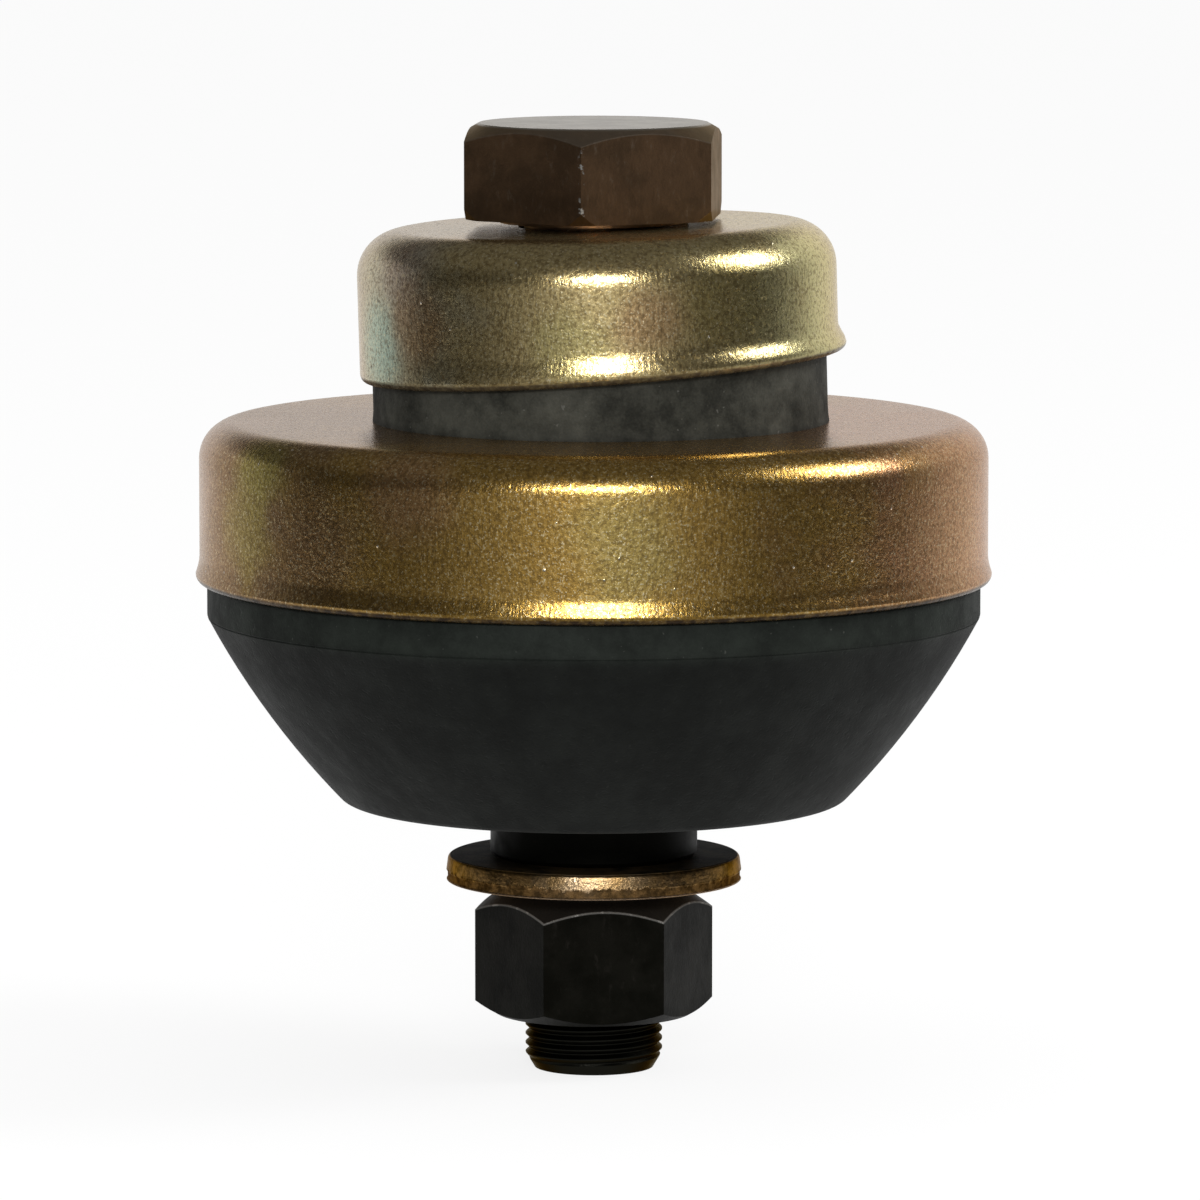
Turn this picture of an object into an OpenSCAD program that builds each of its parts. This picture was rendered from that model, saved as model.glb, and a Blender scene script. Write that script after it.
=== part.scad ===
// Bolted two-cushion mount: a bolt clamps an upper and a lower rubber cushion, each in a pressed steel cup.
// The origin is the centre of the lower cushion's seat, on the bolt's axis. +Z points up to the bolt's head.

/* [Bolt] */
// Diameter of the shank and thread
bolt_d = 16; // [14:0.1:18]
// Length of thread that stands out below the nut
thread_out = 6.45; // [4:0.05:12]
// Radial depth of the chamfer on the threaded end
end_chamfer = 1.1; // [0.5:0.1:2.5]
// Length of the chamfer on the threaded end
end_chamfer_h = 1.8; // [0.5:0.1:3.5]
// Head across flats
head_af = 28.3; // [25:0.1:32]
// Height of the hexagon
head_h = 10.8; // [8:0.1:14]
// Turn of the head about the axis, in degrees
head_turn = 25; // [0:0.5:60]
// Diameter of the round top face inside the head's chamfer
head_top_d = 26.4; // [23:0.1:27.5]
// How far the chamfer at the head's foot cuts back the corners
head_foot_cut = 0.85; // [0.3:0.05:2]
// Chamfer angle at the head's foot, in degrees
head_foot_angle = 57; // [30:1:65]
// Diameter of the washer face under the head
washer_face_d = 21.8; // [19:0.1:25]
// Thickness of the washer face
washer_face_t = 0.6; // [0.2:0.05:1]

/* [Nut] */
// Nut across flats
nut_af = 24; // [22:0.1:27]
// Height of the nut, with its collar
nut_h = 15.55; // [12:0.05:18]
// Turn of the nut about the axis, in degrees
nut_turn = 5.5; // [0:0.5:60]
// Diameter of the collar that bears on the washer
nut_collar_d = 21.2; // [19.5:0.1:22]
// Height of the collar
nut_collar_h = 1.2; // [0.4:0.1:2]
// Chamfer angle on the collar's side, in degrees
nut_collar_angle = 35; // [20:1:45]
// Diameter of the round face inside the outer chamfer
nut_face_d = 22.8; // [20:0.1:23.5]
// Depth of the countersink at each end of the thread
nut_countersink = 0.6; // [0.2:0.1:1]
// Chamfer angle of the hexagon's outer ends, in degrees
hex_angle = 30; // [15:1:40]

/* [Flat washer] */
// Outer diameter
washer_d = 34.2; // [28:0.1:40]
// Thickness
washer_t = 2.9; // [2:0.1:4]
// Radius of the upper outer edge, drawn in by the punch
washer_edge = 0.5; // [0.1:0.05:0.9]
// Radial clearance round the bolt
washer_gap = 0.5; // [0.2:0.05:1]

/* [Spacer sleeve] */
// Outer diameter
sleeve_d = 24; // [22:0.1:27]
// Length that stands out below the lower cushion
sleeve_out = 6.4; // [5:0.1:12]
// Radial clearance round the bolt
sleeve_gap = 0.3; // [0.1:0.05:0.8]
// Chamfer on the sleeve's outer ends
sleeve_chamfer = 0.5; // [0.1:0.1:1]

/* [Lower cushion] */
// Height of the cone, from the seat to the crease
cone_h = 21.7; // [18:0.1:26]
// Height of the straight band between the crease and the cup's rim
band_h = 4; // [1:0.1:8]
// How far the band stands out past the rubber inside the cup
band_bulge = 0.4; // [0.1:0.05:0.6]
// Diameter of the seat, where the flank would meet it sharply
seat_d = 57.7; // [50:0.1:66]
// Radius of the seat's rounded edge
seat_round = 2; // [0.5:0.1:4]
// Radius of the flank's outward curve
flank_r = 95; // [60:1:200]

/* [Lower cup] */
// Thickness of the pressed sheet, in both cups
sheet_t = 1.2; // [1:0.1:1.6]
// Radius of the rolled outer edge of both rims
rim_round = 0.9; // [0.3:0.05:0.95]
// Outer diameter of the wall
lower_cup_d = 91; // [84:0.1:98]
// Height from rim to top
lower_cup_h = 18.45; // [14:0.05:24]
// Outer radius of the shoulder
lower_cup_round = 4.2; // [2.5:0.1:7]
// How far the lip stands out from the wall
lower_lip = 0.45; // [0.1:0.05:1]
// Height over which the lip flares
lower_lip_h = 2.9; // [2.4:0.1:5]
// Radial gap between the sleeve and the hole in the top
lower_hole_gap = 5; // [3:0.1:8]

/* [Upper cushion] */
// Rubber that shows between the two cups, at the axis
upper_show = 6.35; // [5:0.05:12]
// Gap between the cushion and its cup
upper_fit = 0.2; // [0.1:0.05:0.5]
// Least gap round the sleeve
slip_gap = 0.4; // [0.2:0.05:1]

/* [Upper cup] */
// Outer diameter of the wall
upper_cup_d = 55.2; // [52:0.1:62]
// Height from rim to top, at the axis
upper_cup_h = 16.2; // [12:0.1:22]
// Outer radius of the shoulder
upper_cup_round = 5.2; // [2.5:0.1:8]
// Lean of the cup between the bolt's head and the sleeve, in degrees
upper_tilt = 1.6; // [0:0.1:2]
// Slant of the trimmed rim against the cup, in degrees
rim_slant = 2.5; // [0:0.1:4]
// Sideways offset of the cup's top from the bolt
upper_shift = 0.2; // [0:0.05:0.8]
// How far the lip stands out on the high side of the rim
upper_lip = 0.9; // [0.2:0.05:1.3]
// Height over which the lip flares
upper_lip_h = 3.6; // [2.6:0.1:5]

/* [Fits] */
// Bond line between rubber and steel in the lower half
bond_gap = 0.05; // [0.02:0.01:0.2]
// Gap left where the tilted cup rests on an edge
rest_gap = 0.02; // [0.01:0.01:0.2]
// Radial clearance between the threads of bolt and nut
thread_gap = 0.05; // [0.02:0.01:0.2]
// Overlap where one curve runs into another, so that they cross
curve_lap = 0.02; // [0.01:0.01:0.05]

/* [Hidden] */
$fn = 96;

// Sides of a hexagon
hex_sides = 6;
// Reach of a cutting solid past what it cuts
cut_reach = 5;
half_space = lower_cup_d + upper_cup_d;

bolt_r = bolt_d / 2;
sleeve_r = sleeve_d / 2;
head_foot_r = corner_radius(head_af) - head_foot_cut;
washer_face_r = washer_face_d / 2;

// Heights above the lower cushion's seat
washer_top_z = -sleeve_out;
nut_top_z = washer_top_z - washer_t;
nut_z = nut_top_z - nut_h;
bolt_end_z = nut_z - thread_out;
crease_z = cone_h;
lower_rim_z = crease_z + band_h;
lower_top_z = lower_rim_z + lower_cup_h;
upper_top_z = lower_top_z + upper_show + upper_cup_h;

// The tilted cup touches the washer face at one side and the sleeve at the other
washer_face_z = upper_top_z + (washer_face_r - upper_shift) * tan(upper_tilt) + rest_gap;
head_z = washer_face_z + washer_face_t;
sleeve_rest = (sleeve_r + upper_shift) * tan(upper_tilt) + rest_gap;
sleeve_top_z = upper_top_z - sheet_t / cos(upper_tilt) - sleeve_rest;

lower_cup_r = lower_cup_d / 2;
lower_hole_r = sleeve_r + lower_hole_gap;
lower_cushion_r = lower_cup_r - sheet_t - bond_gap;
band_r = lower_cushion_r + band_bulge;

upper_cup_r = upper_cup_d / 2;
upper_lean = (upper_show + upper_cup_h) * sin(upper_tilt);
upper_cushion_r = upper_cup_r - sheet_t - upper_fit;
upper_bore_r = sleeve_r + upper_shift + upper_lean + slip_gap;
upper_hole_r = bolt_r + sleeve_gap + upper_shift + slip_gap;
upper_wall_h = upper_cup_h + upper_cup_r * tan(rim_slant) + cut_reach;

// The flank's circle passes through the crease and the sharp edge of the seat
flank_top = [band_r, crease_z];
flank_foot = [seat_d / 2, 0];
flank_chord = norm(flank_top - flank_foot);
flank_out = [crease_z, flank_foot.x - flank_top.x] / flank_chord;
flank_centre = (flank_top + flank_foot) / 2 - flank_out * sqrt(flank_r ^ 2 - (flank_chord / 2) ^ 2);

// The seat's edge is a circle that touches the seat and runs into the flank
seat_reach = flank_r - seat_round + curve_lap;
seat_edge = [flank_centre.x + sqrt(seat_reach ^ 2 - (flank_centre.y - seat_round) ^ 2), seat_round];
flank_meets = flank_centre + (seat_edge - flank_centre) * flank_r / seat_reach;

// Colours
zinc = [0.68, 0.56, 0.30];
dark_steel = [0.20, 0.17, 0.14];
black_steel = [0.11, 0.11, 0.10];
rubber = [0.15, 0.16, 0.14];
plain_steel = [0.30, 0.29, 0.27];

// Radius to the corners of a hexagon across flats af
function corner_radius(af) = af / 2 / cos(180 / hex_sides);

// Radius of the arc that turns a wall outwards by lip over the height h
function flare_radius(lip, h) = (h ^ 2 + lip ^ 2) / (2 * lip);

// Half section of a solid drum with a round shoulder: top at height 0, straight down to -h
module drum_section(r, h, shoulder) {
    translate([0, -h]) square([r, h - shoulder]);
    translate([0, -h]) square([r - shoulder, h]);
    translate([r - shoulder, -shoulder]) circle(shoulder);
}

// Half section of a solid flare: a wall of radius r turns out below height h, then rolls in at its foot
module flare_section(r, lip, h, edge) {
    flare_r = flare_radius(lip, h - edge) - edge;
    roll = [r + lip - edge, edge];
    meet_y = edge + (h - edge) * edge / (flare_r + edge);
    difference() {
        translate([0, meet_y]) square([r + lip, h - meet_y]);
        translate([r + flare_r, h]) circle(flare_r + curve_lap);
    }
    square([roll.x, meet_y + curve_lap]);
    translate(roll) circle(edge);
}

// Half section of the hollow inside a flare: radius r at height h, wider by lip from height 0 down
module flare_hollow(r, lip, h) {
    difference() {
        translate([0, -cut_reach]) square([r + lip, h + cut_reach]);
        translate([r + flare_radius(lip, h), h]) circle(flare_radius(lip, h));
    }
}

// Hexagon across flats af and height h, with a chamfer at each end outside a round face
module chamfered_hexagon(af, h, foot_r, foot_angle, top_r, top_angle) {
    corner_r = corner_radius(af);
    foot_drop = (corner_r - foot_r) * tan(foot_angle);
    top_drop = (corner_r - top_r) * tan(top_angle);
    intersection() {
        cylinder(r = corner_r, h = h, $fn = hex_sides);
        rotate_extrude()
            polygon([
                [0, 0],
                [foot_r, 0],
                [corner_r, foot_drop],
                [corner_r, h - top_drop],
                [top_r, h],
                [0, h]
            ]);
    }
}

// Places the upper cup and its cushion: top of the cup at height 0, leaning with its +X side up
module upper_place() {
    translate([upper_shift, 0, upper_top_z]) rotate([0, -upper_tilt, 0]) children();
}

// Places what follows the upper cup's rim: foot at height 0, centred so that the lip is all on the +X side
module upper_rim_place() {
    translate([0, 0, -upper_cup_h]) rotate([0, -rim_slant, 0]) translate([upper_lip / 2, 0, 0]) children();
}

module hex_bolt() {
    color(dark_steel) {
        translate([0, 0, head_z]) rotate(head_turn)
            chamfered_hexagon(head_af, head_h, head_foot_r, head_foot_angle, head_top_d / 2, hex_angle);
        rotate_extrude()
            polygon([
                [0, bolt_end_z],
                [bolt_r - end_chamfer, bolt_end_z],
                [bolt_r, bolt_end_z + end_chamfer_h],
                [bolt_r, washer_face_z],
                [washer_face_r, washer_face_z],
                [washer_face_r, head_z],
                [0, head_z]
            ]);
    }
}

module upper_cup() {
    color(zinc) upper_place() difference() {
        union() {
            difference() {
                rotate_extrude() drum_section(upper_cup_r, upper_wall_h, upper_cup_round);
                upper_rim_place() translate([-half_space / 2, -half_space / 2, rim_round - half_space])
                    cube(half_space);
            }
            upper_rim_place() rotate_extrude()
                flare_section(upper_cup_r - upper_lip / 2, upper_lip, upper_lip_h, rim_round);
        }
        translate([0, 0, -sheet_t]) rotate_extrude()
            drum_section(upper_cup_r - sheet_t, upper_wall_h, upper_cup_round - sheet_t);
        upper_rim_place() rotate_extrude()
            flare_hollow(upper_cup_r - sheet_t - upper_lip / 2, upper_lip, upper_lip_h);
        translate([0, 0, -cut_reach]) cylinder(r = upper_hole_r, h = 2 * cut_reach);
    }
}

module upper_cushion() {
    cushion_h = upper_show + upper_cup_h + cut_reach;
    color(rubber) difference() {
        upper_place() translate([0, 0, -sheet_t - upper_fit]) rotate_extrude() difference() {
            drum_section(upper_cushion_r, cushion_h, upper_cup_round - sheet_t - upper_fit);
            translate([0, -cushion_h]) square([upper_bore_r, cushion_h]);
        }
        translate([-half_space / 2, -half_space / 2, lower_top_z - half_space]) cube(half_space);
    }
}

module spacer_sleeve() {
    inner_r = bolt_r + sleeve_gap;
    color(plain_steel) rotate_extrude()
        polygon([
            [inner_r, washer_top_z],
            [sleeve_r - sleeve_chamfer, washer_top_z],
            [sleeve_r, washer_top_z + sleeve_chamfer],
            [sleeve_r, sleeve_top_z - sleeve_chamfer],
            [sleeve_r - sleeve_chamfer, sleeve_top_z],
            [inner_r, sleeve_top_z]
        ]);
}

module lower_cup() {
    color(zinc) translate([0, 0, lower_top_z]) rotate_extrude() difference() {
        union() {
            drum_section(lower_cup_r, lower_cup_h - rim_round, lower_cup_round);
            translate([0, -lower_cup_h]) flare_section(lower_cup_r, lower_lip, lower_lip_h, rim_round);
        }
        translate([0, -sheet_t])
            drum_section(lower_cup_r - sheet_t, lower_cup_h, lower_cup_round - sheet_t);
        translate([0, -lower_cup_h]) flare_hollow(lower_cup_r - sheet_t, lower_lip, lower_lip_h);
        translate([0, -cut_reach]) square([lower_hole_r, 2 * cut_reach]);
    }
}

module lower_cushion() {
    body_top_z = lower_top_z - sheet_t - bond_gap;
    color(rubber) rotate_extrude() difference() {
        union() {
            translate([0, body_top_z])
                drum_section(lower_cushion_r, body_top_z - crease_z, lower_cup_round - sheet_t - bond_gap);
            intersection() {
                translate(flank_centre) circle(flank_r);
                translate([0, flank_meets.y]) square([band_r, lower_rim_z - flank_meets.y]);
            }
            polygon([[0, 0], [seat_edge.x, 0], flank_meets, [0, crease_z]]);
            translate(seat_edge) circle(seat_round);
        }
        translate([0, -cut_reach]) square([sleeve_r + bond_gap, body_top_z + 2 * cut_reach]);
    }
}

module flat_washer() {
    color(zinc) translate([0, 0, nut_top_z]) rotate_extrude() difference() {
        union() {
            square([washer_d / 2, washer_t - washer_edge]);
            square([washer_d / 2 - washer_edge, washer_t]);
            translate([washer_d / 2 - washer_edge, washer_t - washer_edge]) circle(washer_edge);
        }
        square([bolt_r + washer_gap, washer_t]);
    }
}

module hex_nut() {
    bore_r = bolt_r + thread_gap;
    body_h = nut_h - nut_collar_h;
    sink_r = bore_r + nut_countersink;
    collar_r = nut_collar_d / 2;
    color(black_steel) translate([0, 0, nut_z]) difference() {
        union() {
            rotate(nut_turn)
                chamfered_hexagon(nut_af, body_h, nut_face_d / 2, hex_angle, collar_r, nut_collar_angle);
            cylinder(r = collar_r, h = nut_h);
        }
        translate([0, 0, -cut_reach]) cylinder(r = bore_r, h = nut_h + 2 * cut_reach);
        cylinder(r1 = sink_r, r2 = bore_r, h = nut_countersink);
        translate([0, 0, nut_h - nut_countersink]) cylinder(r1 = bore_r, r2 = sink_r, h = nut_countersink);
    }
}

hex_bolt();
upper_cup();
upper_cushion();
spacer_sleeve();
lower_cup();
lower_cushion();
flat_washer();
hex_nut();
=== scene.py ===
import math
import bmesh
import bpy
from mathutils import Matrix, Vector


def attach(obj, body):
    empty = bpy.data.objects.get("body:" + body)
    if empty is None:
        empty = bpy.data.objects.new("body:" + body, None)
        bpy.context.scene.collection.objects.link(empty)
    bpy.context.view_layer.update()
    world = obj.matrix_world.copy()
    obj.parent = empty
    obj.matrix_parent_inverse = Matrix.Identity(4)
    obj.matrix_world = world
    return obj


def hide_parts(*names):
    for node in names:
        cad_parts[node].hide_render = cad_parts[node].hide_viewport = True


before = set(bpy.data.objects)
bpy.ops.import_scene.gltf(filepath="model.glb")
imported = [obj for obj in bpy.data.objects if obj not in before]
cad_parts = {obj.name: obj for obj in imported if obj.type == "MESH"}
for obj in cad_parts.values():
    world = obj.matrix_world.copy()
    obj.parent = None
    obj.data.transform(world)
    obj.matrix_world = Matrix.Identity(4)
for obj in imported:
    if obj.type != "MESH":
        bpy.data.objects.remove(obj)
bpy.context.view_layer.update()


# Lower cushion. One block of black rubber, moulded round the sleeve and bonded into the lower cup: a flat seat,
# a slightly full cone and a short straight band, with the crease of the mould between cone and band.
MM = 0.001
cushion_bore = 12.05
seat_r = 28.85
seat_round = 2.0
flank_swell = 0.95
flank_cuts = 11
crease_z = 21.7
crease_depth = 0.14
band_r = 44.65
band_edge = 0.35
cushion_r = 44.25
lower_rim_z = 25.7
cushion_top = 42.9
cushion_shoulder = 2.95
cushion_black = (0.0048, 0.0062, 0.0048)
cushion_bloom = (0.0165, 0.0205, 0.0165)
rubber_shade_black = (0.0015, 0.0017, 0.0012)
dust_grey = (0.16, 0.16, 0.145)


def half_section(points):
    """A closed wire through (radius, height) points in millimetres, standing to the right of the bolt's axis."""
    bm = bmesh.new()
    verts = [bm.verts.new((radius, 0.0, height)) for radius, height in points]
    for start, end in zip(verts, verts[1:] + verts[:1]):
        bm.edges.new((start, end))
    return bm


def corner_at(bm, radius, height):
    """The wire's vertex nearest to (radius, height)."""
    return min(bm.verts, key=lambda v: (v.co.x - radius) ** 2 + (v.co.z - height) ** 2)


def round_corner(bm, radius, height, fillet, segments=8):
    """Rounds the wire's corner at (radius, height) to a fillet of this radius."""
    corner = corner_at(bm, radius, height)
    one, other = [edge.other_vert(corner).co - corner.co for edge in corner.link_edges]
    reach = fillet / math.tan(one.angle(other) / 2)
    bmesh.ops.bevel(bm, geom=[corner], offset=reach, offset_type='OFFSET', segments=segments, profile=0.5,
                    affect='VERTICES', material=-1)


def only(kind, found):
    """The items of one kind, such as edges, in what an operator gives back."""
    return [item for item in found if isinstance(item, kind)]


def divide_long(bm, length):
    """Cuts every edge of the wire that is longer than this into equal lengths."""
    for edge in bm.edges[:]:
        cuts = int(edge.calc_length() / length)
        if cuts:
            bmesh.ops.subdivide_edges(bm, edges=[edge], cuts=cuts)


def spin_round(bm, steps=160, merge=0.0005):
    """Spins the half section once round the bolt's axis into a closed ring."""
    bmesh.ops.spin(bm, geom=bm.verts[:] + bm.edges[:], cent=(0, 0, 0), axis=(0, 0, 1), dvec=(0, 0, 0),
                   angle=math.tau, steps=steps, use_merge=True, use_duplicate=False)
    bmesh.ops.remove_doubles(bm, verts=bm.verts[:], dist=merge)
    bmesh.ops.recalc_face_normals(bm, faces=bm.faces[:])


def make_piece(name, bm, material, sharp=32):
    """Puts a finished mesh, made in millimetres, into the scene in metres; edges over sharp degrees stay hard."""
    bmesh.ops.scale(bm, vec=(MM, MM, MM), verts=bm.verts[:])
    mesh = bpy.data.meshes.new(name)
    bm.to_mesh(mesh)
    bm.free()
    mesh.shade_smooth()
    mesh.set_sharp_from_angle(angle=math.radians(sharp))
    mesh.materials.append(material)
    piece = bpy.data.objects.new(name, mesh)
    bpy.context.scene.collection.objects.link(piece)
    return piece


class Socket:
    """One output of a shader's nodes. Arithmetic on it adds Math nodes."""

    def __init__(self, tree, link):
        self.tree = tree
        self.link = link

    def node(self, kind, settings, inputs, output=0):
        """Adds a node: its settings first, then the values or links of its inputs, by name or number."""
        made = self.tree.nodes.new("ShaderNode" + kind)
        for name, value in settings.items():
            if name == "stops":
                stops = made.color_ramp.elements
                for position, grey in value[1:-1]:
                    stops.new(position)
                for stop, (position, grey) in zip(stops, value):
                    stop.position = position
                    stop.color = (grey, grey, grey, 1.0)
            else:
                setattr(made, name, value)
        for name, value in inputs.items():
            socket = made.inputs[name]
            if isinstance(value, Socket):
                self.tree.links.new(value.link, socket)
            else:
                socket.default_value = (*value, 1.0) if socket.type == 'RGBA' else value
        return Socket(self.tree, made.outputs[output]) if len(made.outputs) else None

    def maths(self, operation, one, other=0.0):
        """A Math node on one or two values."""
        return self.node("Math", {"operation": operation}, {0: one, 1: other})

    def __add__(self, other):
        return self.maths('ADD', self, other)

    __radd__ = __add__

    def __sub__(self, other):
        return self.maths('SUBTRACT', self, other)

    def __rsub__(self, other):
        return self.maths('SUBTRACT', other, self)

    def __mul__(self, other):
        return self.maths('MULTIPLY', self, other)

    __rmul__ = __mul__

    def vector(self, operation, other=(0.0, 0.0, 0.0), output="Vector"):
        """Vector Math on this vector and another."""
        return self.node("VectorMath", {"operation": operation}, {0: self, 1: other}, output)

    def axis(self, name):
        """The X, Y or Z of this vector."""
        return self.node("SeparateXYZ", {}, {0: self}, name)

    def step(self, low, high):
        """0 below low, 1 above high and smooth between them."""
        return self.node("MapRange", {"interpolation_type": 'SMOOTHSTEP'},
                         {0: self, 1: low, 2: high, 3: 0.0, 4: 1.0})

    def blend(self, one, other):
        """Colour one where this is 0, colour other where it is 1."""
        return self.node("Mix", {"data_type": 'RGBA'}, {0: self, 6: one, 7: other}, 2)

    def noise(self, scale, detail, rough):
        """Noise from 0 to 1 over this vector."""
        return self.node("TexNoise", {}, {"Vector": self, "Scale": scale, "Detail": detail, "Roughness": rough})


def blank_finish(name, offset):
    """A material without nodes yet, with the piece's own coordinates and a shifted copy for its noise, in mm."""
    material = bpy.data.materials.new(name)
    material.use_nodes = True
    material.node_tree.nodes.clear()
    start = Socket(material.node_tree, None)
    metres = start.node("TexCoord", {}, {}, "Object")
    place = start.node("VectorMath", {"operation": 'SCALE'}, {0: metres, "Scale": 1 / MM})
    return material, place, place.vector('ADD', offset)


def lay_surface(place, relief, strength, depth, inputs):
    """Ends a material: a Principled surface with these inputs, bumped by a relief this many mm deep."""
    normal = place.node("Bump", {}, {"Strength": strength, "Distance": depth * MM, "Height": relief})
    shader = place.node("BsdfPrincipled", {}, {"Normal": normal, **inputs})
    place.node("OutputMaterial", {}, {"Surface": shader})


def moulded_rubber(name, offset, dark, pale, dust, shade_line):
    """Black rubber with a cloudy bloom, fine mould grain and a little pale dust, with painted shade making it
    blacker below the shade line.
    """
    material, place, shifted = blank_finish(name, offset)
    cloud = shifted.noise(0.12, 5.0, 0.66).step(0.36, 0.68)
    blotch = shifted.noise(0.45, 4.0, 0.62).step(0.36, 0.72)
    grain = shifted.noise(3.6, 2.0, 0.6)
    pits = shifted.noise(1.2, 2.0, 0.5).step(0.60, 0.72)
    specks = shifted.noise(1.9, 1.0, 0.4).step(0.74, 0.80)
    shade_below = 1.0 - place.axis("Z").step(shade_line - 1.2, shade_line + 0.8)
    bloom = cloud * 0.55 + blotch * 0.3 + grain * 0.3
    colour = bloom.blend(dark, pale)
    colour = (specks * dust).blend(colour, dust_grey)
    # Painted shade: below the shade line the rubber is blended towards black.
    colour = (shade_below * 0.75).blend(colour, rubber_shade_black)
    lay_surface(place, grain * 0.6 + blotch * 0.3 - pits * 0.5, 0.6, 0.09, {
        "Base Color": colour, "Roughness": 0.72 - bloom * 0.14, "Specular IOR Level": 0.13})
    return material


bm = half_section([
    (cushion_bore, 0), (seat_r, 0), (band_r - crease_depth / 2, crease_z - crease_depth),
    (band_r - crease_depth, crease_z), (band_r, crease_z + crease_depth), (band_r, lower_rim_z),
    (cushion_r, lower_rim_z), (cushion_r, cushion_top), (cushion_bore, cushion_top)])
seat_corner = corner_at(bm, seat_r, 0)
flank = max(seat_corner.link_edges, key=lambda edge: edge.other_vert(seat_corner).co.z)
flank_run = flank.other_vert(seat_corner).co - seat_corner.co
flank_start = seat_corner.co.copy()
flank_out = Vector((flank_run.z, 0, -flank_run.x)).normalized()
cut = bmesh.ops.subdivide_edges(bm, edges=[flank], cuts=flank_cuts)
for vert in only(bmesh.types.BMVert, cut["geom_inner"]):
    along = (vert.co - flank_start).dot(flank_run) / flank_run.length_squared
    vert.co += flank_out * flank_swell * 4 * along * (1 - along)
round_corner(bm, seat_r, 0, seat_round)
round_corner(bm, band_r, lower_rim_z, band_edge, segments=4)
round_corner(bm, cushion_r, cushion_top, cushion_shoulder)
divide_long(bm, length=3.0)
spin_round(bm)
# Painted shade: the cone, which faces down, is blended towards black below the crease.
cushion_rubber = moulded_rubber(
    "cushion_rubber", (3.0, 11.0, 5.0), cushion_black, cushion_bloom, dust=0.18, shade_line=crease_z)
lower_cushion = make_piece("lower_cushion_rubber", bm, cushion_rubber)
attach(lower_cushion, "root")
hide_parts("lower_cushion")


# Lower cup. A round cup drawn from 1.2 mm steel sheet, with a soft shoulder and a small rolled lip, zinc plated
# and passivated yellow. The plating is granular and streaked by the draw, and its hue drifts over the wall.
sheet = 1.2
cup_r = 45.5
cup_top = 44.15
cup_shoulder = 4.2
cup_hole = 17.0
cup_hole_edge = 0.25
cup_lip = 0.45
cup_lip_h = 2.7
cup_lip_inner_h = 2.87
cup_lip_round = 4.0
cup_lip_middle = 0.2
cup_lip_middle_h = 1.7
cup_roll = 0.85
rim_roll = 0.9
pink, olive, copper = (0.62, 0.44, 0.36), (0.48, 0.40, 0.09), (0.62, 0.34, 0.17)
green, brown = (0.52, 0.48, 0.17), (0.34, 0.19, 0.09)
streak_brown, grain_brown, pit_brown = (0.26, 0.16, 0.05), (0.16, 0.09, 0.02), (0.10, 0.055, 0.015)
grain_glint_gold, sparkle_gold, glint_white = (0.92, 0.74, 0.38), (1.0, 0.92, 0.66), (1.0, 0.97, 0.88)
lower_tints_and_shading = ((0.34, 0.20, 0.095), (0.53, 0.315, 0.058), (0.60, 0.30, 0.14), (0.020, 0.012, 0.006))
lower_stains = (
    (pink, (-45.0, -5.0, 39.0), 13.0, 0.55), (olive, (-37.5, -25.0, 41.0), 7.0, 0.9),
    (olive, (-39.0, -23.0, 34.0), 8.0, 0.6), (brown, (-31.0, -33.0, 33.0), 8.0, 0.6),
    (copper, (-20.0, -40.0, 40.0), 8.0, 0.6), (green, (4.0, -45.0, 34.0), 9.0, 0.4),
    (copper, (41.0, -20.0, 33.0), 14.0, 0.8), (pink, (40.0, 18.0, 36.0), 16.0, 0.6),
    (olive, (-20.0, 40.0, 34.0), 14.0, 0.6), (green, (16.0, 41.0, 40.0), 10.0, 0.6))


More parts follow.
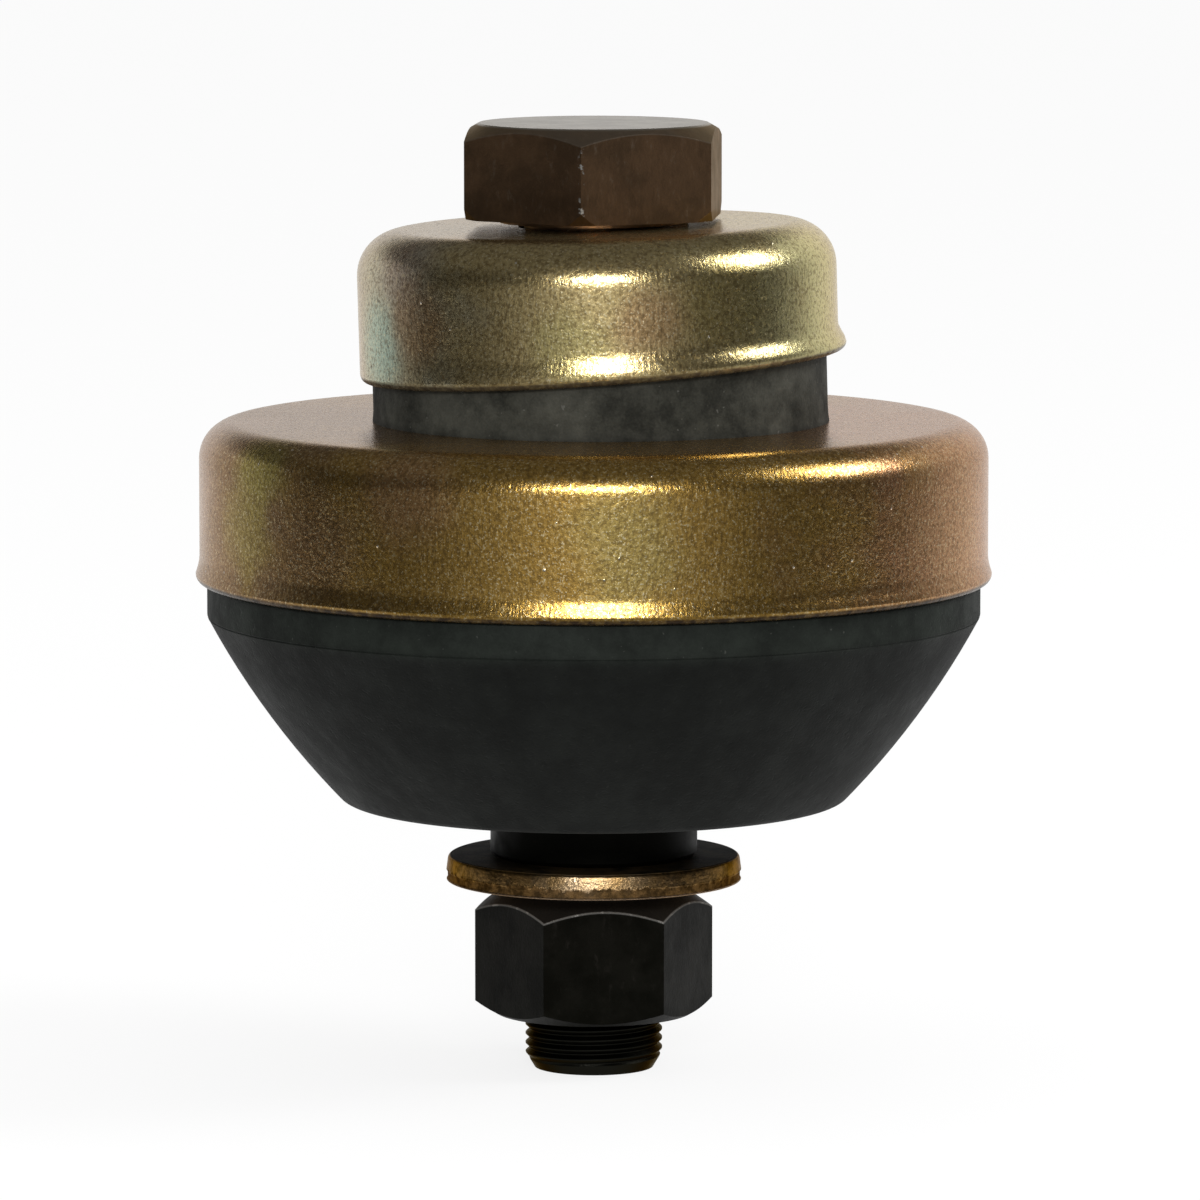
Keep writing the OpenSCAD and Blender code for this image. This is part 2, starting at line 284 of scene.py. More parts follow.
def yellow_zinc(name, offset, tints, stains, rim_height, rim_slope, roughness):
    """Yellow zinc plate with grain, draw streaks and painted glints on the grain. The tints are the left's, the
    front's, the right's and the rim edge's: the side tints hold painted light and shade besides the plating's
    hue, and the rim edge's is painted shade; each stain is its tint, centre, reach and depth."""
    material, place, shifted = blank_finish(name, offset)
    left, middle, right, edge = tints
    around = place.vector('MULTIPLY', (1.0, 1.0, 0.0)).vector('NORMALIZE')
    side = around.axis("X")
    drift = shifted.noise(0.13, 4.0, 0.6) * 0.9 - 0.45
    # Painted light and shade: the side tints make the lower cup darker on the left and the upper cup brighter on
    # the right, besides shifting the plating's hue.
    colour = (side + drift).step(0.40, 1.0).blend(middle, right)
    colour = (drift - side).step(0.40, 1.0).blend(colour, left)
    for tint, centre, reach, depth in stains:
        away = place.vector('DISTANCE', centre, "Value")
        near = 1.0 - (away + drift * reach).step(reach * 0.3, reach)
        colour = (near * depth).blend(colour, tint)
    draw = around.vector('MULTIPLY', (40.0, 40.0, 0.0))
    streak = draw.vector('ADD', shifted.vector('MULTIPLY', (0.0, 0.0, 0.05))).noise(1.3, 5.0, 0.7)
    grain = shifted.noise(2.3, 3.0, 0.6)
    longer = shifted.vector('MULTIPLY', (1.0, 1.0, 0.35)).noise(2.4, 2.0, 0.6)
    coarse = shifted.noise(0.8, 3.0, 0.6)
    pits = shifted.noise(1.9, 2.0, 0.6).step(0.58, 0.72)
    sparkle = shifted.noise(4.6, 1.0, 0.5).step(0.60, 0.72)
    cells = shifted.node("TexVoronoi", {}, {"Vector": shifted, "Scale": 0.30, "Randomness": 1.0}, "Distance")
    glint_dots = 1.0 - cells.step(0.02, 0.06)
    # Painted glints: the gold grains, the gold sparkle and the white dots; the brown streaks, grains and pits are
    # the plating's own.
    for mask, depth, tint in (
            (streak.step(0.52, 0.78), 0.35, streak_brown), (1.0 - grain.step(0.36, 0.54), 0.55, grain_brown),
            (pits, 0.55, pit_brown), (grain.step(0.52, 0.70), 0.42, grain_glint_gold),
            (sparkle, 0.55, sparkle_gold), (glint_dots, 0.9, glint_white)):
        colour = (mask * depth).blend(colour, tint)
    # Painted shade: the bottom of the rim is blended to the near-black edge tint, with less metal and coat, as
    # the shade under the rim.
    above_rim = place.axis("Z") - place.axis("X") * rim_slope - rim_height
    rim_shade = (1.0 - above_rim.step(0.45, 1.0)) * (0.88 + 0.12 * coarse.step(0.38, 0.6))
    colour = rim_shade.blend(colour, edge)
    lay_surface(place, grain + longer * 0.8 + streak * 0.45 + coarse * 0.5 + glint_dots * 0.8, 1.0, 0.037, {
        "Base Color": colour, "Metallic": 1.0 - rim_shade * 0.9, "Roughness": roughness + streak * 0.1 + pits * 0.2,
        "Specular IOR Level": 0.1, "Specular Tint": (0.74, 0.62, 0.52),
        "Coat Weight": 0.5 - rim_shade * 0.5, "Coat Roughness": 0.26})
    return material


bm = half_section([
    (cup_hole, cup_top), (cup_r, cup_top), (cup_r, lower_rim_z + cup_lip_h),
    (cup_r + cup_lip_middle, lower_rim_z + cup_lip_middle_h), (cup_r + cup_lip, lower_rim_z + rim_roll),
    (cup_r + cup_lip, lower_rim_z), (cup_r + cup_lip - sheet, lower_rim_z),
    (cup_r - sheet, lower_rim_z + cup_lip_inner_h),
    (cup_r - sheet, cup_top - sheet), (cup_hole, cup_top - sheet)])
round_corner(bm, cup_r, cup_top, cup_shoulder, segments=12)
round_corner(bm, cup_r, lower_rim_z + cup_lip_h, cup_lip_round, segments=4)
round_corner(bm, cup_r + cup_lip, lower_rim_z, cup_roll, segments=6)
round_corner(bm, cup_r - sheet, cup_top - sheet, cup_shoulder - sheet)
round_corner(bm, cup_hole, cup_top, cup_hole_edge, segments=3)
divide_long(bm, length=2.2)
spin_round(bm)
lower_zinc = yellow_zinc("lower_cup_zinc", (40.0, 7.0, 19.0), lower_tints_and_shading, lower_stains,
                         rim_height=lower_rim_z, rim_slope=0.0, roughness=0.20)
lower_cup = make_piece("lower_cup_shell", bm, lower_zinc)
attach(lower_cup, "root")
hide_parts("lower_cup")


# Spacer sleeve. A plain steel tube bonded into the lower cushion, with its turned foot on the flat washer. Its
# own solid stays, and only a slightly oily turned surface is added, painted near black as the shade in the gap
# between the seat and the washer.
sleeve_shade_black = (0.002, 0.002, 0.0014)
sleeve_shade_grey = (0.006, 0.006, 0.0045)
rust_brown = (0.012, 0.007, 0.004)


def turned_steel(name, offset, dark, pale):
    """Turned steel with fine tool rings, oil stains and a little rust; its dark and pale colours hold painted
    shade for the sleeve.
    """
    material, place, shifted = blank_finish(name, offset)
    rings = place.vector('MULTIPLY', (0.06, 0.06, 5.0)).noise(1.0, 3.0, 0.6)
    stain = shifted.noise(0.25, 4.0, 0.6).step(0.38, 0.7)
    rust = shifted.noise(0.7, 3.0, 0.6).step(0.62, 0.75)
    colour = (stain * 0.7 + rings * 0.3).blend(dark, pale)
    colour = (rust * 0.3).blend(colour, rust_brown)
    lay_surface(place, rings, 0.5, 0.03, {
        "Base Color": colour, "Metallic": 0.6 - rust * 0.5, "Roughness": 0.5 + stain * 0.2,
        "Specular IOR Level": 0.05})
    return material


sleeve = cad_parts["spacer_sleeve"]
sleeve.data.materials.clear()
sleeve.data.materials.append(turned_steel("sleeve_steel", (8.0, 2.0, 31.0), sleeve_shade_black, sleeve_shade_grey))


# Upper cushion. A rubber ring that fills the upper cup and stands out below it; it leans with the cup and is
# pressed flat against the top of the lower cup, where its foot swells a little.
upper_top = 66.7
upper_shift = 0.2
upper_tilt = math.radians(1.6)
upper_bore = 13.23
upper_cushion_r = 26.2
upper_cushion_top = -1.4
upper_cushion_shoulder = 3.8
upper_cushion_foot = -29.0
foot_swell = 0.12
foot_swell_h = 1.6
foot_shade_h = 0.2
upper_black = (0.0075, 0.0080, 0.0062)
upper_bloom = (0.066, 0.066, 0.054)


def lean_into_place(bm):
    """Moves what was made below height 0 to its place under the bolt's head, leaning with its +X side up."""
    bmesh.ops.rotate(bm, cent=(0, 0, 0), matrix=Matrix.Rotation(-upper_tilt, 3, 'Y'), verts=bm.verts[:])
    bmesh.ops.translate(bm, vec=(upper_shift, 0, upper_top), verts=bm.verts[:])


def slice_off(bm, point, outward, merge=0.0001):
    """Cuts the mesh at a plane, drops what lies beyond it and gives back the edges of the cut."""
    cut = bmesh.ops.bisect_plane(bm, geom=bm.verts[:] + bm.edges[:] + bm.faces[:], plane_co=point,
                                 plane_no=outward, clear_outer=True, dist=merge)
    return only(bmesh.types.BMEdge, cut["geom_cut"])


bm = half_section([
    (upper_bore, upper_cushion_top), (upper_cushion_r, upper_cushion_top),
    (upper_cushion_r, upper_cushion_foot), (upper_bore, upper_cushion_foot)])
round_corner(bm, upper_cushion_r, upper_cushion_top, upper_cushion_shoulder)
divide_long(bm, length=0.7)
spin_round(bm, steps=128)
lean_into_place(bm)
bmesh.ops.bridge_loops(bm, edges=slice_off(bm, (0, 0, cup_top), (0, 0, -1), merge=0.001))
bmesh.ops.recalc_face_normals(bm, faces=bm.faces[:])
for vert in bm.verts:
    rise = (vert.co.z - cup_top) / foot_swell_h
    out = Vector((vert.co.x, vert.co.y, 0))
    if rise < 1 and out.length > (upper_bore + upper_cushion_r) / 2:
        vert.co += out.normalized() * foot_swell * (1 - rise) ** 2
# Painted shade: the foot, below a line just above the lower cup's top, is blended towards black.
upper_rubber = moulded_rubber(
    "upper_rubber", (21.0, 4.0, 9.0), upper_black, upper_bloom, dust=0.4, shade_line=cup_top + foot_shade_h)
upper_cushion = make_piece("upper_cushion_rubber", bm, upper_rubber)
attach(upper_cushion, "root")
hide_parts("upper_cushion")


# Upper cup. A smaller cup of the same drawn and plated sheet, clamped under the bolt's head. Its rim is trimmed
# on a slant and flares to a lip on the high side, and the plating shows greener, with teal and pink on the left.
upper_cup_r = 27.6
upper_cup_h = 16.2
upper_cup_shoulder = 5.2
upper_cup_hole = 8.9
rim_slant = math.radians(2.5)
upper_lip = 0.9
upper_lip_h = 3.6
slant_start = 8.0
teal = (0.54, 0.78, 0.66)
upper_tints_and_shading = ((0.68, 0.67, 0.51), (0.65, 0.505, 0.225), (0.94, 0.88, 0.44), (0.06, 0.045, 0.028))
upper_stains = (
    (teal, (-25.0, -11.7, 54.0), 7.5, 0.8), (pink, (-22.5, -16.0, 63.0), 7.0, 0.6),
    (copper, (-20.3, -18.7, 57.0), 6.5, 0.55), (green, (-3.0, -27.4, 55.0), 6.0, 0.5),
    (copper, (6.5, -26.8, 58.0), 5.5, 0.5), (olive, (15.0, -23.0, 60.0), 8.0, 0.35),
    (teal, (10.0, 25.0, 57.0), 8.0, 0.5), (pink, (-14.0, 23.0, 60.0), 9.0, 0.5))

bm = half_section([
    (upper_cup_hole, 0), (upper_cup_r, 0), (upper_cup_r, -upper_cup_h), (upper_cup_r - sheet, -upper_cup_h),
    (upper_cup_r - sheet, -sheet), (upper_cup_hole, -sheet)])
round_corner(bm, upper_cup_r, 0, upper_cup_shoulder, segments=14)
round_corner(bm, upper_cup_r, -upper_cup_h, rim_roll, segments=6)
round_corner(bm, upper_cup_r - sheet, -sheet, upper_cup_shoulder - sheet)
divide_long(bm, length=0.8)
spin_round(bm)
for vert in bm.verts:
    depth = -vert.co.z
    out = Vector((vert.co.x, vert.co.y, 0)).normalized()
    lift = max(0.0, depth - slant_start) / (upper_cup_h - slant_start)
    flare = min(1.0, max(0.0, depth - upper_cup_h + upper_lip_h) / (upper_lip_h - rim_roll))
    vert.co += out * upper_lip * (1 + out.x) / 2 * flare * flare * (3 - 2 * flare)
    vert.co.z += lift * vert.co.x * math.tan(rim_slant)
lean_into_place(bm)
upper_zinc = yellow_zinc("upper_cup_zinc", (13.0, 29.0, 2.0), upper_tints_and_shading, upper_stains,
                         rim_height=upper_top - upper_cup_h, rim_slope=math.tan(rim_slant + upper_tilt),
                         roughness=0.19)
upper_cup = make_piece("upper_cup_shell", bm, upper_zinc)
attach(upper_cup, "root")
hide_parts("upper_cup")


# Hex bolt. One forging with a big hexagon head, chamfered above and below, a thin washer face and a plain shank;
# the thread is rolled on the end. Dark brown oiled oxide, blacker at the thread, with a painted reflection making
# the top face paler and a pale front corner that is partly rubbed wear and partly a painted glint.
head_flats = 28.3
head_turn = 25.0
head_glint_corner = head_turn + 240
head_foot = 67.62
head_top = 78.42
head_face_r = 13.2
head_chamfer = 30
head_foot_r = 15.49
head_foot_chamfer = 57
washer_face_r = 10.9
washer_face_t = 0.6
round_steps = 96
shank_r = 8.0
shank_lead = 0.9
shank_lead_h = 1.0
shank_into_head = 0.2
thread_root = 7.5
thread_crest = 7.95
thread_pitch = 1.1
thread_turns = 21
thread_form = ((thread_root, 0.0), (thread_root, 0.08), (thread_crest, 0.48), (thread_crest, 0.60))
thread_top = -11.0
thread_into_shank = 0.5
bolt_end = -31.3
thread_start = bolt_end - thread_pitch * 1.5
end_chamfer = 1.1
end_chamfer_h = 1.8
edge_break = 0.16
hard_edge = 28
bolt_tints = ((0.14, 0.087, 0.050), (0.25, 0.150, 0.083), (0.42, 0.38, 0.31))
oil_black = (0.010, 0.010, 0.008)
rub_and_glint_white = (0.85, 0.83, 0.78)


def heading(degrees):
    """The direction at this angle round the bolt's axis, from +X."""
    return Matrix.Rotation(math.radians(degrees), 3, 'Z') @ Vector((1, 0, 0))


def draw_out(bm, faces, length):
    """Extrudes faces up along the bolt's axis."""
    grown = bmesh.ops.extrude_face_region(bm, geom=faces)
    bmesh.ops.translate(bm, vec=(0, 0, length), verts=only(bmesh.types.BMVert, grown["geom"]))


def hexagon_blank(flats, turn, foot, top):
    """A plain hexagon bar between two heights, with a corner at turn degrees round from +X."""
    bm = bmesh.new()
    bmesh.ops.create_circle(bm, cap_ends=True, radius=flats / math.sqrt(3), segments=6)
    draw_out(bm, bm.faces[:], top - foot)
    turned = Matrix.Rotation(math.radians(turn + 30), 3, 'Z')
    bmesh.ops.rotate(bm, cent=(0, 0, 0), matrix=turned, verts=bm.verts[:])
    bmesh.ops.translate(bm, vec=(0, 0, foot), verts=bm.verts[:])
    bmesh.ops.recalc_face_normals(bm, faces=bm.faces[:])
    return bm


def turn_chamfer(bm, face_r, height, angle, side, cuts=96):
    """Turns the corners off one end down to a round face; side is 1 for the top and -1 for the foot."""
    slope = math.radians(angle)
    for count in range(cuts):
        out = heading(360 * count / cuts)
        outward = out * math.sin(slope) + Vector((0, 0, side * math.cos(slope)))
        edges = slice_off(bm, out * face_r + Vector((0, 0, height)), outward)
        if edges:
            bmesh.ops.contextual_create(bm, geom=edges)
    bmesh.ops.recalc_face_normals(bm, faces=bm.faces[:])


def soften_edges(piece, width):
    """A narrow rounded break on every hard edge, to catch the light."""
    bevel = piece.modifiers.new("edge_break", 'BEVEL')
    bevel.limit_method = 'ANGLE'
    bevel.angle_limit = math.radians(24)
    bevel.width = width * MM
    bevel.segments = 2
    bevel.use_clamp_overlap = True


def oxide_steel(name, offset, tints, metal, sheen, gloss, hexagon, top_sheen_z, black_z, rub_and_glint_level):
    """Oxide-blackened steel under an oil film: black below black_z; paler above top_sheen_z, a painted reflection
    on the top face;
    and pale on one corner and along the chamfer arcs, partly rubbed wear and partly a painted glint and
    highlight. A top_sheen_z above the piece or a black_z below it leaves that out. The hexagon is its flats, its
    turn, the angle of its pale corner and its chamfer: the round face's radius and height, the angle, and the
    strength of its arcs' pale line."""
    material, place, shifted = blank_finish(name, offset)
    dark, pale, bare_and_sheen = tints
    film = shifted.noise(0.2, 5.0, 0.62).step(0.34, 0.68)
    scuff = shifted.vector('MULTIPLY', (1.0, 1.0, 0.4)).noise(1.2, 5.0, 0.7)
    grain = shifted.noise(3.0, 2.0, 0.6)
    height = place.axis("Z")
    top = height.step(top_sheen_z - 0.1, top_sheen_z + 0.1)
    colour = film.blend(dark, pale)
    colour = (scuff.step(0.56, 0.78) * 0.25).blend(colour, bare_and_sheen)
    # Painted reflection: the flat top face is blended towards the pale colour, as it shines at a grazing view.
    colour = (top * (0.6 + 0.4 * film)).blend(colour, bare_and_sheen)
    colour = (1.0 - height.step(black_z, black_z + 4.0)).blend(colour, oil_black)
    flats, turn, corner, (face_r, face_z, angle, arc_rub_and_glint) = hexagon
    corner_r = flats / math.sqrt(3)
    radius = place.vector('MULTIPLY', (1.0, 1.0, 0.0)).vector('LENGTH', output="Value")
    reach = 0.0
    for count in range(3):
        along = place.vector('DOT_PRODUCT', heading(turn + 30 + 60 * count), "Value")
        reach = place.maths('MAXIMUM', place.maths('ABSOLUTE', along), reach)
    patchy = shifted.noise(0.9, 4.0, 0.7).step(0.54, 0.62)
    # Partly rubbed wear, partly painted glint and highlight: a pale line along one corner, the front one on the
    # bolt, and along the chamfer arcs.
    along = place.vector('DOT_PRODUCT', heading(corner), "Value")
    rub_and_glint = along.step(corner_r - 0.26, corner_r - 0.10) * patchy
    crest = (radius - face_r) * -math.tan(math.radians(angle)) + face_z
    near = 1.0 - place.maths('ABSOLUTE', height - crest).step(0.05, 0.22)
    turned = (height - crest).step(-0.16, -0.04)
    colour = (turned * 0.3).blend(colour, bare_and_sheen)
    arc = near * reach.step(flats / 2 - 0.16, flats / 2 - 0.06)
    rub_and_glint = place.maths('MAXIMUM', rub_and_glint, arc * (0.4 + 0.6 * patchy) * arc_rub_and_glint) * rub_and_glint_level
    colour = rub_and_glint.blend(colour, rub_and_glint_white)
    lay_surface(place, grain * 0.7 + scuff * 0.7, 0.7, 0.05, {
        "Base Color": colour, "Metallic": place.maths('MAXIMUM', rub_and_glint, metal),
        "Roughness": sheen + scuff * 0.2 - film * 0.06, "Specular IOR Level": gloss,
        "Specular Tint": (0.52, 0.46, 0.36), "Coat Weight": top * 0.75, "Coat Roughness": 0.25})
    return material


bm = hexagon_blank(head_flats, head_turn, head_foot, head_top)
turn_chamfer(bm, head_face_r, head_top, head_chamfer, side=1)
turn_chamfer(bm, head_foot_r, head_foot, head_foot_chamfer, side=-1)
shank = half_section([
    (0, thread_top - shank_lead_h), (shank_r - shank_lead, thread_top - shank_lead_h), (shank_r, thread_top),
    (shank_r, head_foot - washer_face_t), (washer_face_r, head_foot - washer_face_t),
    (washer_face_r, head_foot + shank_into_head), (0, head_foot + shank_into_head)])
spin_round(shank, steps=round_steps)
thread = bmesh.new()
profile = []
for turn in range(thread_turns):
    foot = thread_start + turn * thread_pitch
    profile += [thread.verts.new((radius, 0, foot + rise * thread_pitch)) for radius, rise in thread_form]
for start, end in zip(profile, profile[1:]):
    thread.edges.new((start, end))
divide_long(thread, length=0.4)
bmesh.ops.spin(thread, geom=thread.verts[:] + thread.edges[:], cent=(0, 0, 0), axis=(0, 0, 1),
               dvec=(0, 0, thread_pitch / round_steps), angle=math.tau, steps=round_steps,
               use_merge=False, use_duplicate=False)
bmesh.ops.remove_doubles(thread, verts=thread.verts[:], dist=0.002)
bmesh.ops.recalc_face_normals(thread, faces=thread.faces[:])
for height, side in ((bolt_end, -1), (thread_top - thread_into_shank, 1)):
    bmesh.ops.contextual_create(thread, geom=slice_off(thread, (0, 0, height), (0, 0, side)))
for vert in thread.verts:
    limit = shank_r - end_chamfer * max(0.0, 1 - (vert.co.z - bolt_end) / end_chamfer_h)
    radius = math.hypot(vert.co.x, vert.co.y)
    if radius > limit:
        vert.co.x *= limit / radius
        vert.co.y *= limit / radius
bmesh.ops.recalc_face_normals(thread, faces=thread.faces[:])
for part in (shank, thread):
    mesh = bpy.data.meshes.new("bolt_part")
    part.to_mesh(mesh)
    part.free()
    bm.from_mesh(mesh)
    bpy.data.meshes.remove(mesh)
bolt_oxide = oxide_steel(
    "bolt_oxide", (5.0, 17.0, 3.0), bolt_tints, metal=1.0, sheen=0.30, gloss=0.2,
    hexagon=(head_flats, head_turn, head_glint_corner, (head_face_r, head_top, head_chamfer, 0.04)),
    top_sheen_z=head_top - 0.15, black_z=0.0, rub_and_glint_level=1.0)
hex_bolt = make_piece("hex_bolt_forging", bm, bolt_oxide, hard_edge)
soften_edges(hex_bolt, edge_break)
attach(hex_bolt, "root")
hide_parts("hex_bolt")


# Flat washer. Punched from thick strip and zinc plated: the punch draws the upper edge round and leaves a bright
# burnished band, and below it the metal breaks away rough and slightly smaller, with a thin burr at the foot.
washer_hole = 8.5
washer_hole_edge = 0.3
washer_r = 17.1
washer_top = -6.4
washer_foot = -9.3
washer_edge = 0.5
washer_draw = 0.22
break_z = -8.1
torn_edge = ((0.14, break_z - 0.2), (0.16, washer_foot + 0.22), (0.02, washer_foot + 0.06), (0.1, washer_foot))
strip_brown, strip_gold, shear_brown = (0.38, 0.24, 0.10), (0.54, 0.39, 0.23), (0.30, 0.17, 0.06)
side_shade_dark, side_shade_pale = (0.075, 0.045, 0.016), (0.26, 0.15, 0.05)
broken_dark, broken_pale = (0.035, 0.019, 0.006), (0.14, 0.078, 0.028)
burr_gold, washer_shade_black = (0.50, 0.36, 0.24), (0.003, 0.003, 0.002)

bm = half_section([
    (washer_hole, washer_top), (washer_r - washer_draw, washer_top), (washer_r, break_z),
    *[(washer_r - inset, height) for inset, height in torn_edge], (washer_hole, washer_foot)])
round_corner(bm, washer_r - washer_draw, washer_top, washer_edge, segments=6)
round_corner(bm, washer_hole, washer_top, washer_hole_edge, segments=4)
divide_long(bm, length=1.0)
spin_round(bm)
washer_zinc, place, shifted = blank_finish("washer_zinc", (2.0, 6.0, 14.0))
height = place.axis("Z")
side = place.maths('ABSOLUTE', place.axis("X"))
shear = shifted.vector('MULTIPLY', (1.0, 1.0, 0.12)).noise(1.6, 5.0, 0.7)
grain = shifted.noise(2.6, 3.0, 0.6)
cloud = shifted.noise(0.3, 4.0, 0.6)
mottle = shifted.noise(0.9, 4.0, 0.65)
ragged = height + (shear - 0.5) * 2.2 + (cloud - 0.5) * 1.2
# Painted shade: the mottled edge is blended darker towards the left and right, leaving the front and back middle
# lit.
side_shade = (side + (cloud - 0.5) * 9.0).step(2.5, 9.0)
broken = 1.0 - ragged.step(break_z - 0.12, break_z + 0.12)
burr = 1.0 - (height + (grain - 0.5) * 0.2).step(washer_foot + 0.1, washer_foot + 0.22)
# Painted shade: the top face is made near black, dull and not metal, as the shade under the lower cushion.
top_shade = height.step(washer_top - 0.12, washer_top - 0.03) * (0.92 + 0.08 * cloud.step(0.4, 0.7))
colour = cloud.step(0.35, 0.65).blend(strip_brown, strip_gold)
colour = (shear.step(0.5, 0.72) * 0.5).blend(colour, shear_brown)
colour = (side_shade * 0.85).blend(colour, mottle.step(0.4, 0.62).blend(side_shade_dark, side_shade_pale))
colour = (broken * 0.9).blend(colour, mottle.step(0.38, 0.66).blend(broken_dark, broken_pale))
colour = (burr * 0.8).blend(colour, burr_gold)
colour = top_shade.blend(colour, washer_shade_black)
lay_surface(place, shear * 0.6 + grain * (0.9 + broken * 0.6), 0.9, 0.08, {
    "Base Color": colour, "Metallic": 1.0 - top_shade, "Roughness": 0.28 + broken * 0.26 + top_shade * 0.36,
    "Specular IOR Level": 0.05, "Specular Tint": (0.50, 0.40, 0.30)})
flat_washer = make_piece("flat_washer_punched", bm, washer_zinc)
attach(flat_washer, "root")
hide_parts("flat_washer")


# Hex nut. A tall nut turned from bar, chamfered at both ends with a round collar against the washer, countersunk
# and tapped. Black oxide, with a line of bare grey along the arcs where the upper chamfer meets the flats, partly
# rubbed wear and partly a painted highlight.
nut_flats = 24.0
nut_turn = 5.5
nut_rubbed_corner = nut_turn + 120
nut_top = -9.3
nut_foot = -24.85
nut_collar_h = 1.2
nut_collar_r = 10.6
nut_collar_chamfer = 35
nut_face_r = 11.4
nut_face_chamfer = 30
nut_bore = 8.05
nut_sink = 0.6
nut_tints = ((0.0018, 0.0020, 0.0014), (0.0055, 0.0054, 0.0042), (0.03, 0.026, 0.023))

hexagon_top = nut_top - nut_collar_h
bm = hexagon_blank(nut_flats, nut_turn, nut_foot, hexagon_top)
turn_chamfer(bm, nut_face_r, nut_foot, nut_face_chamfer, side=-1)
turn_chamfer(bm, nut_collar_r, hexagon_top, nut_collar_chamfer, side=1)
upper_face = max(bm.faces, key=lambda face: face.calc_center_median().z)
draw_out(bm, [upper_face], nut_collar_h)
bmesh.ops.delete(bm, geom=[upper_face], context='FACES_ONLY')
mouths = []
for side, round_r in ((1, nut_collar_r), (-1, nut_face_r)):
    face = max(bm.faces, key=lambda face: side * face.calc_center_median().z)
    bmesh.ops.inset_region(bm, faces=[face], thickness=round_r - nut_bore - nut_sink, use_even_offset=True)
    bmesh.ops.inset_region(bm, faces=[face], thickness=nut_sink, use_even_offset=True)
    bmesh.ops.translate(bm, vec=(0, 0, -side * nut_sink), verts=face.verts[:])
    mouths.append(face)
rims = [edge for face in mouths for edge in face.edges]
bmesh.ops.delete(bm, geom=mouths, context='FACES_ONLY')
bmesh.ops.bridge_loops(bm, edges=rims)
bmesh.ops.recalc_face_normals(bm, faces=bm.faces[:])
nut_oxide = oxide_steel(
    "nut_oxide", (31.0, 3.0, 8.0), nut_tints, metal=0.0, sheen=0.42, gloss=0.055,
    hexagon=(nut_flats, nut_turn, nut_rubbed_corner, (nut_collar_r, hexagon_top, nut_collar_chamfer, 1.0)),
    top_sheen_z=nut_top + 5.0, black_z=nut_foot - 9.0, rub_and_glint_level=0.3)
hex_nut = make_piece("hex_nut_turned", bm, nut_oxide, hard_edge)
soften_edges(hex_nut, edge_break)
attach(hex_nut, "root")
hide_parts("hex_nut")


# Floor. A plain pale sheet just under the bolt's end that runs back far enough to fill the picture. It keeps a
# faint soft shadow, because most of what the camera sees of it is plain white, and throws little light back up.
floor_front = -100.0
floor_back = 3200.0
floor_half = 300.0
floor_gap = 0.02
floor_white = 0.8
bounce_grey = (0.35, 0.35, 0.35)
paper_grey = (0.94, 0.94, 0.94)
white = (1.0, 1.0, 1.0)


def ray_kind(start, *kinds):
    """1 for a ray of any of these kinds, otherwise 0."""
    seen = 0.0
    for kind in kinds:
        seen = start.maths('MAXIMUM', start.node("LightPath", {}, {}, kind), seen)
    return seen


bm = bmesh.new()
bmesh.ops.create_grid(bm, x_segments=1, y_segments=1, size=1.0)
bmesh.ops.scale(bm, vec=(floor_half, (floor_back - floor_front) / 2, 1), verts=bm.verts[:])
bmesh.ops.translate(bm, vec=(0, (floor_back + floor_front) / 2, bolt_end - floor_gap), verts=bm.verts[:])
floor_paper, place, shifted = blank_finish("floor_paper", (0.0, 0.0, 0.0))
seen = ray_kind(place, "Is Camera Ray", "Is Glossy Ray", "Is Transmission Ray")
paper = place.node("BsdfDiffuse", {}, {"Color": seen.blend(bounce_grey, paper_grey)})
lit = place.node("Emission", {}, {"Color": white, "Strength": 1.0})
shadowed = place.node("MixShader", {}, {0: seen * floor_white, 1: paper, 2: lit})
place.node("OutputMaterial", {}, {"Surface": shadowed})
floor = make_piece("floor", bm, floor_paper)


# Studio light. A wide soft box in front and a smaller one high on the right, in a room that is white behind the
# object and dark overhead and at the sides.
light_target = (0, 0, 0.035)
fill_grey = (0.85, 0.85, 0.85)
black = (0.0, 0.0, 0.0)


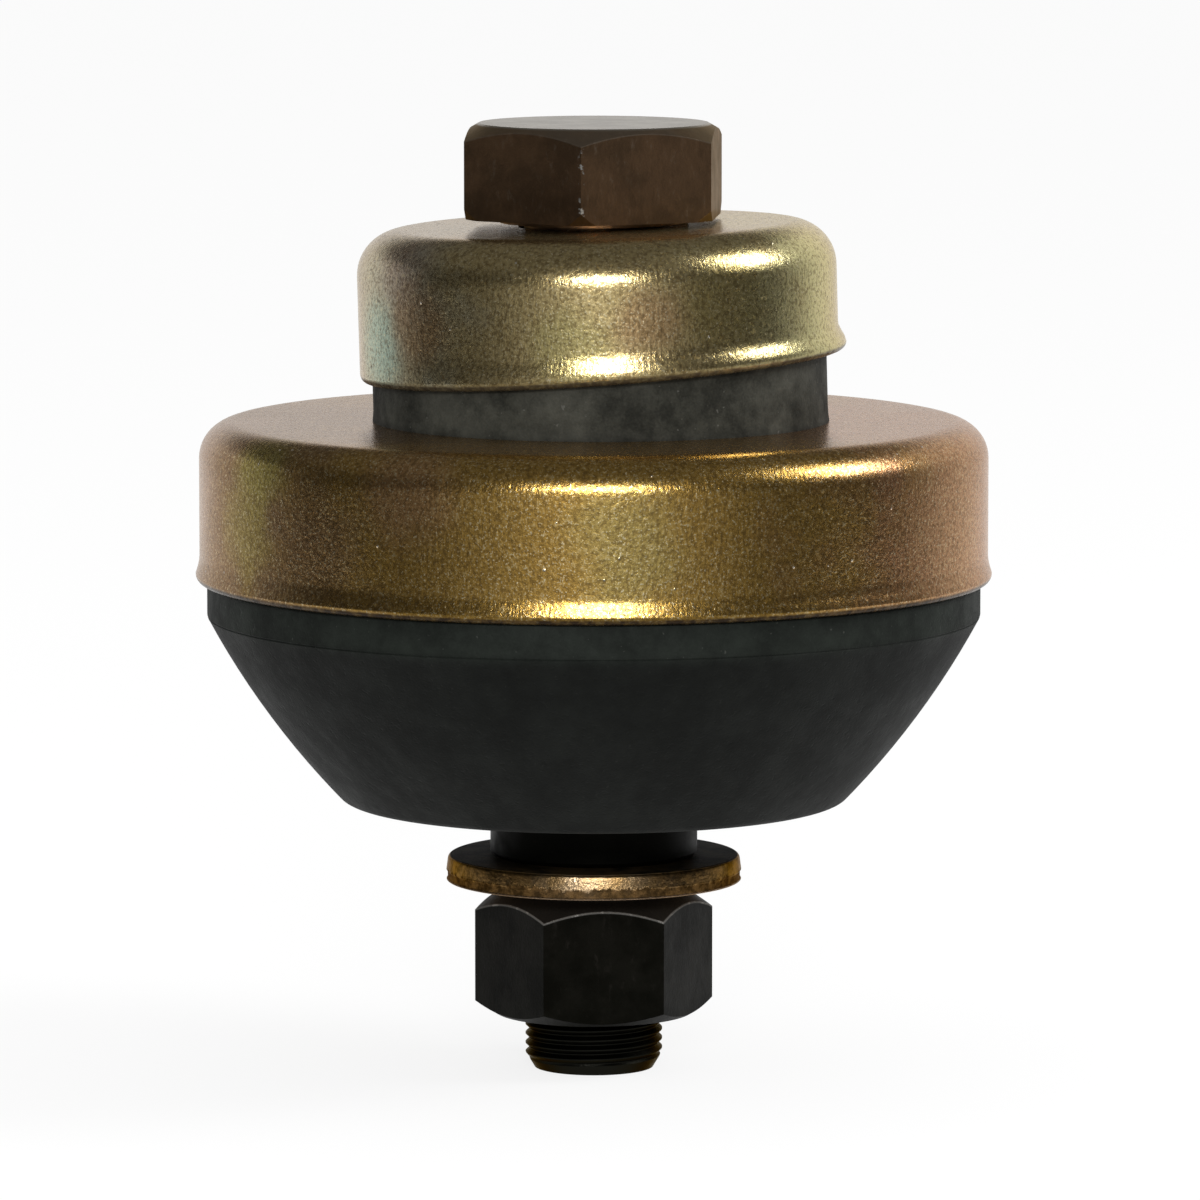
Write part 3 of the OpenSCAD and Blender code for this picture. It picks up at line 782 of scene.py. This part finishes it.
def soft_box(name, place, width, height, power):
    """A rectangular lamp, in metres and watts, that faces the middle of the object."""
    lamp = bpy.data.lights.new(name, 'AREA')
    lamp.shape = 'RECTANGLE'
    lamp.size = width
    lamp.size_y = height
    lamp.energy = power
    holder = bpy.data.objects.new(name, lamp)
    holder.location = place
    holder.rotation_euler = (Vector(light_target) - Vector(place)).to_track_quat('-Z', 'Y').to_euler()
    bpy.context.scene.collection.objects.link(holder)


soft_box("front_box", (0.02, -1.144, 0.40), width=0.42, height=0.17, power=5.6)
soft_box("right_box", (0.82, -0.04, 0.62), width=0.35, height=0.35, power=4.2)

world = bpy.data.worlds.new("studio")
world.use_nodes = True
world.node_tree.nodes.clear()
start = Socket(world.node_tree, None)
facing = start.node("TexCoord", {}, {}, "Generated")
backward = facing.axis("Y") * 0.5 + 0.5
upward = facing.axis("Z")
rightward = start.maths('MAXIMUM', facing.axis("X"), 0.0)
front = start.node("ValToRGB", {"stops": [
    (0.0, 0.62), (0.04, 0.40), (0.17, 0.13), (0.42, 0.04), (0.56, 0.03), (1.0, 0.0)]}, {0: backward})
behind = start.node("ValToRGB", {"stops": [
    (0.0, 0.0), (0.54, 0.03), (0.60, 0.14), (0.68, 0.24), (0.92, 0.80), (1.0, 0.90)]}, {0: backward})
level = 1.0 - start.maths('ABSOLUTE', upward + 0.10).step(0.05, 0.24)
glow = front * (0.25 + 0.75 * level)
glow = start.maths('MAXIMUM', glow, behind * (1.0 - (upward - rightward * 0.5).step(0.26, 0.42)))
room = start.maths('MAXIMUM', glow, 0.035 + upward.step(0.35, 0.75) * 0.065)
mirrored = ray_kind(start, "Is Glossy Ray", "Is Transmission Ray")
shade = mirrored.blend(fill_grey, room.blend(black, white))
shade = ray_kind(start, "Is Camera Ray").blend(shade, white)
backdrop = start.node("Background", {}, {"Color": shade, "Strength": 1.0})
start.node("OutputWorld", {}, {"Surface": backdrop})
bpy.context.scene.world = world
bpy.context.scene.view_settings.view_transform = 'Standard'


# Camera. A long lens in front of the object and a little above it, which looks down about 6.7 degrees, as the
# photograph does.
lens = bpy.data.cameras.new("camera")
lens.sensor_width = 36
lens.lens = 249
lens.clip_start = 0.01
camera = bpy.data.objects.new("camera", lens)
camera.location = (0.000717, -0.95287, 0.13581)
camera.rotation_euler = (math.radians(83.26), 0, 0)
bpy.context.scene.collection.objects.link(camera)
bpy.context.scene.camera = camera
